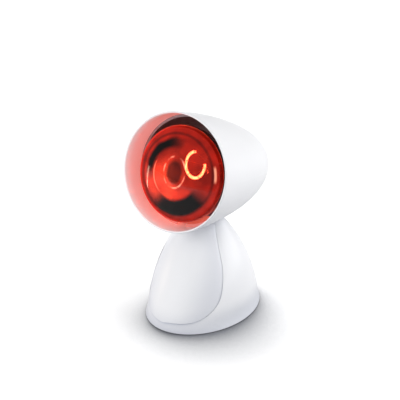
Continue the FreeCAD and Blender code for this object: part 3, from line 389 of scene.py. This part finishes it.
groove = band(tree, at.radius, *GROOVE)
rim = add(tree, "MapRange", SOFT, Value=at.radius, From_Min=RIM_FROM * MM, From_Max=RIM_TO * MM)
lit = add(tree, "MapRange", SOFT, Value=uneven, From_Min=NOISE_LOW, From_Max=NOISE_HIGH,
          To_Min=GLOW_WEAK, To_Max=GLOW_STRONG)
for dark, holds in ((mark, MARK_HOLDS), (dark_reflection, BENDS_HOLD), (groove, GROOVE_HOLDS), (rim, RIM_HOLDS)):
    let_through = add(tree, "Math", MINUS, 1.0, add(tree, "Math", TIMES, dark, holds))
    lit = add(tree, "Math", TIMES, lit, let_through)
lit = add(tree, "Math", PLUS, lit, add(tree, "Math", TIMES, lines, LINE_GLOW))
marked = add(tree, "Mix", COLOUR, Factor=mark, A=linear("C83C22"), B=linear("3A1008"))
# The painted dark reflections darken the colour of the glass.
reflection_darkened = add(tree, "Mix", COLOUR, Factor=dark_reflection, A=marked, B=linear("200A06"))
shine = add(tree, "Mix", COLOUR, Factor=lines, A=linear("E02A16"), B=linear("FFB898"))
feed(tree, shader, Base_Color=reflection_darkened, Emission_Color=shine, Emission_Strength=lit,
     Transmission_Weight=1.0, Roughness=0.03, IOR=1.3)
print("nodes in the ruby glass:", len(tree.nodes))

# %% [markdown]
# Behind the front, the bowl has aluminium evaporated onto its inside. It mirrors the inside of the
# bulb, and its inner face is painted dim as well, a painted shade; from without it is seen through
# clear glass and looks bright. It is one wall here, so its two faces get a colour each.

# %% Silvered bowl
PAINTED_DIM_INSIDE, BRIGHT_OUTSIDE = "6C6966", "C4C4C6"

silvering = metal("evaporated_silvering", PAINTED_DIM_INSIDE, EVEN, line=3.0, roughness=0.2)
tree = silvering.node_tree
# Painted shade: the inner face is dimmer than the outer one.
inside_painted_dim = add(tree, "Mix", COLOUR, Factor=outside_of(tree), A=linear(PAINTED_DIM_INSIDE),
                B=linear(BRIGHT_OUTSIDE))
feed(tree, tree.nodes["Principled BSDF"], Base_Color=inside_painted_dim)
print("nodes in the silvering:", len(tree.nodes))

# %% [markdown]
# The stem inside the bulb is clear glass, drawn and pressed hot, so it is nearly as smooth as a mirror.
# The filament is tungsten at white heat. It gives off its own light, and Emission alone shows that.

# %% Clear glass and the glowing wire
clear, tree, shader = start("clear_glass")
feed(tree, shader, Base_Color=linear("F4F6F6"), Transmission_Weight=1.0, Roughness=0.02, IOR=1.5)
glow, tree, shader = start("glowing_tungsten")
feed(tree, shader, Base_Color=linear("FFF0F4"), Emission_Color=linear("FFF0F4"), Emission_Strength=16.0)
print("finishes so far:", len(bpy.data.materials))

# %% [markdown]
# The shade is moulded in PBT, which stands the heat. Its mouth is washed with red light from the
# bulb, most on the left. Light that bounces between glass and wall takes many samples, so the inner
# wall gets a red glow of its own, which grows from the rim inwards. The normal tells the inner wall
# from the outer one. Depths count from the front of the glass, which is half a millimetre behind the
# plane of the rim, so a wash that starts in front of it has some strength at the rim already.

# %% Red light on the inner wall of the shade
WASH_FROM, WASH_FULL = -14.0, 17.0
WASH_WEAK, WASH_STRONG = 0.2, 0.56
WASH_FADES, WASH_GONE = 30.0, 50.0
RED_FROM, RED_FULL = -10.0, 12.0
WASHED_SIDE = (172, 130, 80)

tree = shade_pbt.node_tree
shader = tree.nodes["Principled BSDF"]
at = round_the_axis(tree)
inner_wall = add(tree, "Math", MINUS, 1.0, outside_of(tree))
deeper = add(tree, "MapRange", SOFT, Value=at.depth, From_Min=WASH_FROM * MM, From_Max=WASH_FULL * MM,
             To_Min=WASH_WEAK, To_Max=WASH_STRONG)
far_in = add(tree, "MapRange", SOFT, Value=at.depth, From_Min=WASH_FADES * MM, From_Max=WASH_GONE * MM,
             To_Min=1.0, To_Max=0.0)
wash = inner_wall
for share in (deeper, far_in, lobe(tree, at.towards, *WASHED_SIDE)):
    wash = add(tree, "Math", TIMES, wash, share)
reddens = add(tree, "MapRange", SOFT, Value=at.depth, From_Min=RED_FROM * MM, From_Max=RED_FULL * MM)
redder = add(tree, "Mix", COLOUR, Factor=reddens, A=linear("FFF6F4"), B=linear("FF7C6C"))
feed(tree, shader, Emission_Color=redder, Emission_Strength=wash)
print("nodes with the red light:", len(tree.nodes))

# %% [markdown]
# The upper right of the inner wall lies in the shade's own shadow and is painted browner, again by a
# lobe and a depth. On the outside the belly gets a grey painted shade where it comes close to the base,
# from the same recipe as on the base, with a longer reach.

# %% Painted shadow and painted shade on the shade
SHADOW_FROM, SHADOW_FULL = 1.0, 9.0
SHADOW_SIDE = (55, 85, 40)
BELLY_SHADE = {"low": 122.0, "high": 150.0, "left_over": 0.0, "reach": 50.0}

# Painted shadow on the upper right of the inner wall.
sinks = add(tree, "MapRange", SOFT, Value=at.depth, From_Min=SHADOW_FROM * MM, From_Max=SHADOW_FULL * MM)
own_shadow = add(tree, "Math", TIMES, inner_wall, sinks)
own_shadow = add(tree, "Math", TIMES, own_shadow, lobe(tree, at.towards, *SHADOW_SIDE))
plain = shader.inputs["Base Color"].links[0].from_socket
# Painted shade on the belly, kept to the outer wall.
shaded_belly = paint_shade_in_hollows(tree, plain, "7E869C", **BELLY_SHADE)
outside_shaded = add(tree, "Mix", COLOUR, Factor=inner_wall, A=shaded_belly, B=plain)
wall_in_shadow = add(tree, "Mix", COLOUR, Factor=own_shadow, A=outside_shaded, B=linear("8C5A58"))
feed(tree, shader, Base_Color=wall_in_shadow)
print("nodes in the shade's plastic:", len(tree.nodes))

# %% [markdown]
# The heat shield is a strip of bright aluminium, rolled to a ring round the bulb. It mirrors the red
# glass most under the bulb, where its two ends show, so a lobe there adds the red light to the metal.

# %% Rolled aluminium, lit by the bulb
LIT_SIDE = (-95, 70, 30)
LIT_MOST, LIT_LEAST = 0.65, 0.02

rolled_aluminium = metal("bright_rolled_aluminium", "9A9A9E", ROLLED, line=0.6, roughness=0.35)
tree = rolled_aluminium.node_tree
mirrored = add(tree, "Math", TIMES, lobe(tree, round_the_axis(tree).towards, *LIT_SIDE), LIT_MOST)
mirrored = add(tree, "Math", PLUS, mirrored, LIT_LEAST)
feed(tree, tree.nodes["Principled BSDF"], Emission_Color=linear("F0604A"), Emission_Strength=mirrored)
print("nodes in the heat shield's aluminium:", len(tree.nodes))


# %% [markdown]
# Now each measured piece gets what the real one is made of. A mesh keeps its materials in slots, so
# the slots are emptied and one material goes in. Fasteners share one plated steel, whatever their
# size, as they would from one supplier.

# %% Dress the pieces of the frame
def dress(material, *names):
    """Puts one material on pieces of the frame."""
    for name in names:
        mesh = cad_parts[name].data
        mesh.materials.clear()
        mesh.materials.append(material)


dress(white_abs, "rear_housing")
dress(cover_abs, "front_cover")
dress(shade_pbt, "shade")
dress(plate_abs, "base_plate")
dress(foot_tpe, "foot_ring")
dress(zinc_steel, "base_screws", "clamp_screws", "bracket_screws", "arm_screws", "strap_screws",
      "holder_screws", "hinge_bracket", "lampholder_strap")
dress(spring_steel, "hinge_pin", "pin_clip", "detent_spring")
dress(gland_nylon, "cord_gland", "cord_clamp")
dress(off_white_nylon, "terminal_block", "detent_plunger")
dress(brass, "terminal_screws", "lampholder_shell", "lampholder_contact", "lampholder_terminals")
dress(lead_silicone, "base_leads", "head_leads")
dress(arm_nylon, "tilt_arm")
dress(rolled_aluminium, "heat_shield")
dress(porcelain, "lampholder_body")
dress(ruby, "bulb_front_glass")
dress(silvering, "bulb_reflector")
dress(cap_aluminium, "bulb_cap")
dress(black_glass, "cap_insulator")
dress(solder, "cap_contact")
dress(clear, "bulb_stem")
dress(glow, "filament")
dress(support_steel, "filament_supports")
print("pieces with a finish:", sum(bool(node.data.materials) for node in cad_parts.values()))


# %% [markdown]
# Three of the new pieces hold a wire or a bead that is wound up an axis. A curve with a round bevel
# could follow the same path, but the Screw modifier works as a winding machine does: it carries the
# section of the wire round and along at once, so all turns are alike. The two ends are closed
# afterwards, which makes the piece a solid.

# %% Winding a wire
def bare():
    """Nothing selected, so that the next operator acts on the new piece alone."""
    bpy.ops.object.select_all(action="DESELECT")


def apply_all(piece):
    """Applies every modifier of a piece, in order."""
    bpy.context.view_layer.objects.active = piece
    for modifier in list(piece.modifiers):
        bpy.ops.object.modifier_apply(modifier=modifier.name)


def wound(name, wire, sides, radius, foot, pitch, turns, steps):
    """A wire with closed ends, wound up the Z axis from the height of its foot."""
    bare()
    bpy.ops.mesh.primitive_circle_add(vertices=sides, radius=wire, rotation=(math.pi / 2, 0, 0))
    piece = bpy.context.object
    piece.name = name
    bpy.ops.object.transform_apply(rotation=True)
    bpy.ops.object.mode_set(mode="EDIT")
    bpy.ops.mesh.select_all(action="SELECT")
    bpy.ops.transform.translate(value=(radius, 0, foot))
    bpy.ops.object.mode_set(mode="OBJECT")
    winding = piece.modifiers.new("winding", "SCREW")
    winding.angle = 2 * math.pi
    winding.screw_offset = pitch
    winding.iterations = turns
    winding.steps = steps
    winding.render_steps = steps
    apply_all(piece)
    bpy.ops.object.mode_set(mode="EDIT")
    bpy.ops.mesh.select_all(action="SELECT")
    bpy.ops.mesh.fill_holes(sides=sides)
    bpy.ops.mesh.normals_make_consistent(inside=False)
    bpy.ops.object.mode_set(mode="OBJECT")
    print(name, "wound:", turns, "turns,", len(piece.data.polygons), "faces")
    return piece


# %% [markdown]
# The filament is tungsten wire wound to a tight coil, and the coil is hung in an open ring. It is
# made in the same order here: the coil is wound straight and laid along X, and Simple Deform bends
# it to the ring.

# %% Coiled filament
COIL_WIRE = 0.3 * MM
COIL_RADIUS = 1.3 * MM
COIL_PITCH = 1.0 * MM
RING_RADIUS = 14.0 * MM
RING_FROM, RING_TO = math.radians(100), math.radians(375)
coil_turns = round(RING_RADIUS * (RING_TO - RING_FROM) / COIL_PITCH)
lay_down = Matrix.Rotation(math.pi / 2, 4, "Y")

coil = wound("filament_coil", COIL_WIRE, sides=6, radius=COIL_RADIUS, foot=0, pitch=COIL_PITCH,
             turns=coil_turns, steps=12)
coil.data.transform(Matrix.Translation((-coil_turns * COIL_PITCH / 2, 0, 0)) @ lay_down)
ring = coil.modifiers.new("ring", "SIMPLE_DEFORM")
ring.deform_method = "BEND"
ring.deform_axis = "Z"
ring.angle = RING_TO - RING_FROM
apply_all(coil)
print("ring, across in mm:", [round(size / MM, 1) for size in coil.dimensions])

# %% [markdown]
# The ring hangs across the axis, well behind the front glass. A filament sags with use and bulging
# glass shows it off its place, so the ring is set a little narrower and to the upper left of the
# middle. It rides on the bulb, so it comes out with it, and the plain ring of the frame gives way to it.

# %% Hang the ring in the bulb
RING_DEPTH = 40.5 * MM
RING_RISE = 4.0 * MM
RING_WIDE, RING_HIGH = 0.77, 0.93
RING_LEFT, RING_LIFT = 2.0 * MM, 2.6 * MM
RING_MIDDLE = (RING_FROM + RING_TO) / 2
hang = (BULB @ Matrix.Translation((-RING_LEFT, RING_DEPTH, RING_RISE + RING_LIFT))
        @ Matrix.Diagonal((RING_WIDE, 1.0, RING_HIGH, 1.0)) @ Matrix.Rotation(math.pi / 2, 4, "X"))

coil.data.transform(hang @ Matrix.Rotation(RING_MIDDLE + math.pi / 2, 4, "Z")
                    @ Matrix.Translation((0, -RING_RADIUS, 0)))
coil.data.materials.append(glow)
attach(coil, "bulb")
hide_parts("filament")
print("middle of the ring:", [round(c / MM, 1) for c in hang.translation])

# %% [markdown]
# Five nickel wires hold the coil. On the real bulb each comes out of the glass stem and ends in an eye
# round the coil. Bent wire could be a curve, but these are straight, so a thin cylinder and a small
# torus do. They are turned to their place once for each wire, and all of them are joined to one piece.
# The foot of each wire lies up to 6 mm off the stem, out of sight behind the ruby glass.

# %% Support wires
SUPPORT_COUNT = 5
SUPPORT_RADIUS = 0.35 * MM
EYE_GAP = 0.5 * MM
FOOT_RADIUS = 6.0 * MM
FOOT_DEPTH = 57.0 * MM


def support(turn):
    """The wire to the coil at an angle on the ring, and the eye at its end."""
    out = Vector((math.cos(turn), math.sin(turn), 0))
    held = hang @ (out * RING_RADIUS)
    foot = BULB @ Vector((out.x * FOOT_RADIUS, FOOT_DEPTH, out.y * FOOT_RADIUS + RING_RISE))
    way = held - foot
    bare()
    bpy.ops.mesh.primitive_cylinder_add(vertices=8, radius=SUPPORT_RADIUS, depth=way.length - COIL_RADIUS)
    wire = bpy.context.object
    wire.data.transform(Matrix.Translation(foot + way * 0.5 * (1 - COIL_RADIUS / way.length))
                        @ way.to_track_quat("Z", "Y").to_matrix().to_4x4())
    bare()
    bpy.ops.mesh.primitive_torus_add(major_radius=COIL_RADIUS + EYE_GAP, minor_radius=SUPPORT_RADIUS,
                                     major_segments=16, minor_segments=8)
    eye = bpy.context.object
    along = (hang.to_3x3() @ Vector((-out.y, out.x, 0))).normalized()
    eye.data.transform(Matrix.Translation(held) @ along.to_track_quat("Z", "Y").to_matrix().to_4x4())
    return [wire, eye]


wires_and_eyes = []
for number in range(SUPPORT_COUNT):
    wires_and_eyes += support(RING_FROM + (RING_TO - RING_FROM) * number / (SUPPORT_COUNT - 1))
bare()
for part in wires_and_eyes:
    part.select_set(True)
bpy.context.view_layer.objects.active = wires_and_eyes[0]
bpy.ops.object.join()
supports = bpy.context.object
supports.name = "support_wires"
supports.data.materials.append(support_steel)
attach(supports, "bulb")
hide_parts("filament_supports")
print("support wires:", len(supports.data.polygons), "faces")

# %% [markdown]
# The cap is aluminium sheet, rolled with a round thread of 3.6 mm pitch, so that the bulb screws into
# its holder. Spin could turn its profile, but here the sheet grows as it is drawn in a press: a row of
# rings, each one extruded from the last, from the flare over the glass to the lip round the black
# glass. Each ring is a depth behind the front of the bulb and a radius, in mm. Solidify gives the wall.

# %% Sheet of the lamp cap
CAP_RINGS = ((100.0, 14.25), (100.6, 14.2), (102.6, 13.15), (103.2, 13.05), (106.2, 13.05), (107.0, 12.4),
             (121.0, 12.4), (121.7, 12.1), (122.0, 11.5), (122.0, 11.05))
CAP_WALL = 0.3 * MM

bare()
first_depth, first_radius = CAP_RINGS[0]
bpy.ops.mesh.primitive_circle_add(vertices=72, radius=first_radius * MM,
                                  location=(0, 0, first_depth * MM))
cap = bpy.context.object
cap.name = "threaded_cap"
bpy.ops.object.transform_apply(location=True)
bpy.ops.object.mode_set(mode="EDIT")
bpy.ops.mesh.select_all(action="SELECT")
for (depth_before, radius_before), (depth_now, radius_now) in zip(CAP_RINGS, CAP_RINGS[1:]):
    step = (depth_now - depth_before) * MM
    narrower = radius_now / radius_before
    bpy.ops.mesh.extrude_region_move(TRANSFORM_OT_translate={"value": (0, 0, step)})
    bpy.ops.transform.resize(value=(narrower, narrower, 1), center_override=(0, 0, depth_now * MM))
bpy.ops.mesh.select_all(action="SELECT")
bpy.ops.mesh.normals_make_consistent(inside=False)
bpy.ops.object.mode_set(mode="OBJECT")
sheet = cap.modifiers.new("sheet", "SOLIDIFY")
sheet.thickness = CAP_WALL
sheet.offset = -1.0
apply_all(cap)
print("cap, widest:", round(max(Vector(v.co[:2]).length for v in cap.data.vertices) / MM, 2), "mm")

# %% [markdown]
# The crest of the thread is a round bead, wound round the sheet and sunk in it so far that it looks
# rolled from it. That is simpler than rolling the thread into the rings. It keeps clear of the
# lampholder's shell, so the bulb slides out without touching it.

# %% Thread of the lamp cap
THREAD_PITCH = 3.6 * MM
THREAD_CREST = 13.2 * MM
THREAD_START = 108.4 * MM
THREAD_TURNS = 3
BEAD_RADIUS = 1.0 * MM
SMOOTH_BELOW = math.radians(30)
on_the_axis = BULB @ Matrix.Rotation(-math.pi / 2, 4, "X")

bead = wound("thread_bead", BEAD_RADIUS, sides=12, radius=THREAD_CREST - BEAD_RADIUS, foot=THREAD_START,
             pitch=THREAD_PITCH, turns=THREAD_TURNS, steps=60)
bare()
bead.select_set(True)
cap.select_set(True)
bpy.context.view_layer.objects.active = cap
bpy.ops.object.join()
bpy.ops.object.shade_smooth_by_angle(angle=SMOOTH_BELOW)
cap.data.transform(on_the_axis)
cap.data.materials.append(cap_aluminium)
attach(cap, "bulb")
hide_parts("bulb_cap")
print("threaded cap:", len(cap.data.polygons), "faces")

# %% [markdown]
# The spring under the detent plunger is a compression spring of steel wire.

# %% Detent spring
SPRING_WIRE = 0.35 * MM
SPRING_RADIUS = 2.55 * MM
SPRING_TURNS = 5
SPRING_LENGTH = 6.0 * MM
SPRING_GAP = 0.1 * MM
SPRING_FOOT = Vector((0.0, 2.0, 55.5)) * MM
SPRING_SMOOTH = math.radians(40)
wound_height = SPRING_LENGTH - 2 * SPRING_WIRE - 2 * SPRING_GAP

spring = wound("detent_coil", SPRING_WIRE, sides=10, radius=SPRING_RADIUS, foot=SPRING_WIRE + SPRING_GAP,
               pitch=wound_height / SPRING_TURNS, turns=SPRING_TURNS, steps=24)
bpy.ops.object.shade_smooth_by_angle(angle=SPRING_SMOOTH)
spring.data.transform(Matrix.Translation(SPRING_FOOT))
spring.data.materials.append(spring_steel)
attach(spring, "base")
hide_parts("detent_spring")
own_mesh(spring)
print("spring:", round(spring.dimensions.z / MM, 2), "mm long at rest")

# %% [markdown]
# A pale, dull floor lies under the lamp and runs on to the horizon. Where the camera or a mirror sees
# it, it is nearly white, and where it only sends light back up at the lamp it is greyer, so that it
# lights the belly less. Large softboxes leave hardly a shadow, so Ambient Occlusion draws one: it looks
# up towards the back left, and so the floor is darkest in front of the lamp and at its right. For the
# camera a little Emission lifts the open floor, more of it further out.

# %% Floor
FLOOR_SIZE = 8.0
SHADOW_REACH = 100 * MM
SHADOW_LEANS = {"X": -0.42, "Y": 0.62, "Z": 0.66}
SHADOW_DARKEST = 0.49
LIFT_FROM, LIFT_TO = 0.3, 1.2
LIFT_NEAR, LIFT_FAR = 0.36, 0.8

bare()
bpy.ops.mesh.primitive_plane_add(size=FLOOR_SIZE, location=(0, 0, 0))
floor = bpy.context.object
floor.name = "floor"
floor_paint, tree, shader = start("pale_floor")
rays = add(tree, "LightPath").outputs
seen = add(tree, "Math", LARGER, rays["Is Camera Ray"], rays["Is Glossy Ray"])
seen = add(tree, "Math", LARGER, seen, rays["Is Transmission Ray"])
paint = add(tree, "Mix", COLOUR, Factor=seen, A=linear("84868E"), B=linear("FDFDFD"))
near = add(tree, "AmbientOcclusion", {"samples": 16}, Distance=SHADOW_REACH,
           Normal=add(tree, "CombineXYZ", **SHADOW_LEANS))
open_floor = add(tree, "MapRange", Value=near.outputs["AO"], From_Min=SHADOW_DARKEST, From_Max=1.0)
shadowed = add(tree, "Mix", COLOUR, Factor=open_floor, A=linear("7E8086"), B=paint)
far_out = add(tree, "VectorMath", LENGTH, add(tree, "TexCoord").outputs["Object"])
rises = add(tree, "MapRange", SOFT, Value=far_out, From_Min=LIFT_FROM, From_Max=LIFT_TO,
            To_Min=LIFT_NEAR, To_Max=LIFT_FAR)
lift = add(tree, "Math", TIMES, rays["Is Camera Ray"], open_floor)
lift = add(tree, "Math", TIMES, lift, rises)
feed(tree, shader, Base_Color=shadowed, Roughness=0.9, Specular_IOR_Level=0.1,
     Emission_Color=linear("FFFFFF"), Emission_Strength=lift)
floor.data.materials.append(floor_paint)
print("nodes in the floor's paint:", len(tree.nodes))

# %% [markdown]
# There are no walls: the background is the world itself. It is white where the camera looks at it,
# also through glass, and about half as strong where it lights the lamp or is mirrored, so that the
# white plastic keeps its shades of grey. The Light Path node tells the one from the other.

# %% World
SKY = (0.985, 0.99, 1.0, 1)  # linear, a trace cooler than white
SKY_LIGHTS, SKY_SHOWS = 0.5, 1.1

world = bpy.data.worlds.new("studio")
bpy.context.scene.world = world
world.use_nodes = True
sky = world.node_tree
rays = add(sky, "LightPath").outputs
looked_at = add(sky, "Math", LARGER, rays["Is Camera Ray"], rays["Is Transmission Ray"])
level = add(sky, "MapRange", Value=looked_at, To_Min=SKY_LIGHTS, To_Max=SKY_SHOWS)
feed(sky, sky.nodes["Background"], Color=SKY, Strength=level)
print("the sky lights the lamp at", SKY_LIGHTS, "and shows at", SKY_SHOWS)


# %% [markdown]
# Three large softboxes stand round the lamp, as in a small studio: one in front, one at the right and
# one at the back left. The front one doesn't show in gloss, so that no big square lies over the ruby
# glass. A narrow, warm strip at the left gives the glass a thin highlight near its left edge. Places
# and sizes are in metres, powers in watts.

# %% Lights
def softbox(name, place, aim, size, power):
    """A square area light that faces a point and that the camera doesn't see."""
    light = bpy.data.lights.new(name, "AREA")
    light.shape = "SQUARE"
    light.size = size
    light.energy = power
    lamp = bpy.data.objects.new(name, light)
    bpy.context.collection.objects.link(lamp)
    lamp.location = place
    lamp.rotation_euler = (Vector(aim) - Vector(place)).to_track_quat("-Z", "Y").to_euler()
    lamp.visible_camera = False
    return lamp


LAMP_MIDDLE = (0, 0, 0.12)
GLASS_LEFT = (-0.033, -0.05, 0.152)
STRIP_WIDE, STRIP_TALL = 0.009, 0.1
STRIP_WARM = (1.0, 0.78, 0.6)  # linear

front = softbox("front_softbox", place=(-0.7, -1.7, 0.5), aim=LAMP_MIDDLE, size=1.6, power=26.0)
front.visible_glossy = False
softbox("right_softbox", place=(1.6, 0.8, 0.75), aim=LAMP_MIDDLE, size=2.0, power=32.5)
softbox("back_softbox", place=(-1.55, 1.2, 0.6), aim=LAMP_MIDDLE, size=1.6, power=16.0)
strip = softbox("strip_light", place=(-0.252, -0.154, 0.104), aim=GLASS_LEFT, size=STRIP_WIDE,
                power=0.045)
strip.data.shape = "RECTANGLE"
strip.data.size_y = STRIP_TALL
strip.data.color = STRIP_WARM

# %% [markdown]
# The camera looks down at the lamp from its right front, from 1.2 m away. A long lens from there keeps
# the round base from bulging. It is aimed by turning its own axis, -Z, along the line to the target.

# %% Camera
EYE = Vector((633.0, -967.6, 633.6)) * MM
TARGET = Vector((30.273, -52.27, 144.872)) * MM
SENSOR_WIDTH = 36.0
FOCAL_LENGTH = 113.597
NEAREST = 0.05

lens = bpy.data.cameras.new("camera")
lens.sensor_width = SENSOR_WIDTH
lens.lens = FOCAL_LENGTH
lens.clip_start = NEAREST
camera = bpy.data.objects.new("camera", lens)
bpy.context.collection.objects.link(camera)
camera.location = EYE
camera.rotation_euler = (TARGET - EYE).to_track_quat("-Z", "Y").to_euler()
bpy.context.scene.camera = camera
bpy.context.scene.view_settings.view_transform = "Standard"
print("distance to the lamp:", round((TARGET - EYE).length, 3), "m")
